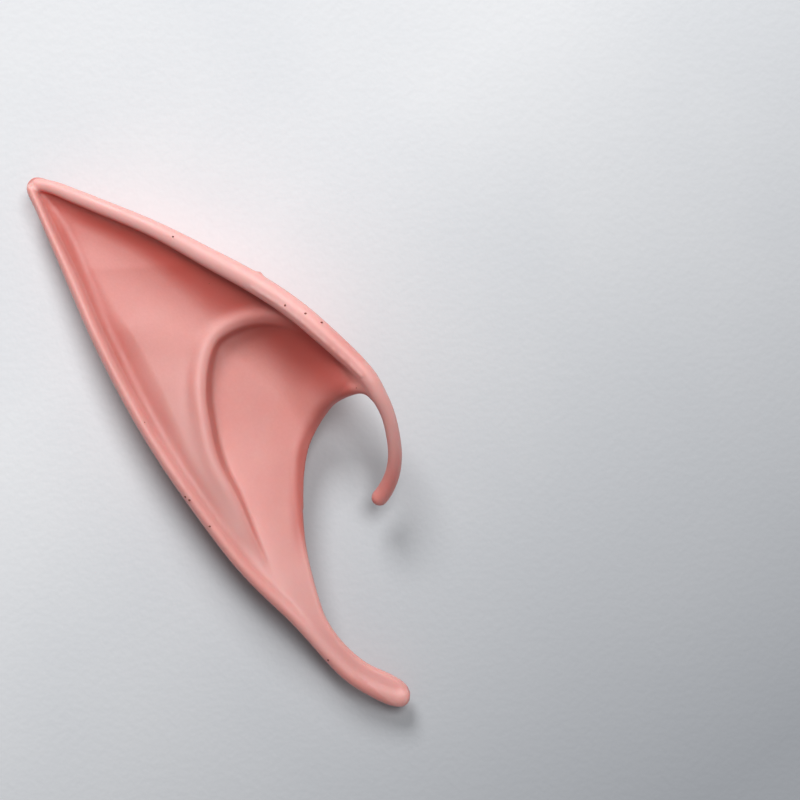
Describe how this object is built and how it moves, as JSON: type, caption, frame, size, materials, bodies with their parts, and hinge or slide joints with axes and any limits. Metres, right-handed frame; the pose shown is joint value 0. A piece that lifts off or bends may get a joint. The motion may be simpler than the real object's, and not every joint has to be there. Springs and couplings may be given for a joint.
{
  "type": "elf ear tip",
  "caption": "Pointed latex ear tip in one piece: sculpted face with raised rims and a bowl, open hollow behind, curled front hook and flat tail.",
  "frame": {"origin": "middle of the bounding box in plan, on the surface that the piece lies on", "axes": "+X towards the wearer's face, +Y up the head towards the point, +Z outward from the head"},
  "size_m": [0.0644, 0.089, 0.0186],
  "materials": {
    "latex": "satin"
  },
  "bodies": {
    "root": {"ear_shell": "latex"}
  },
  "joints": []
}
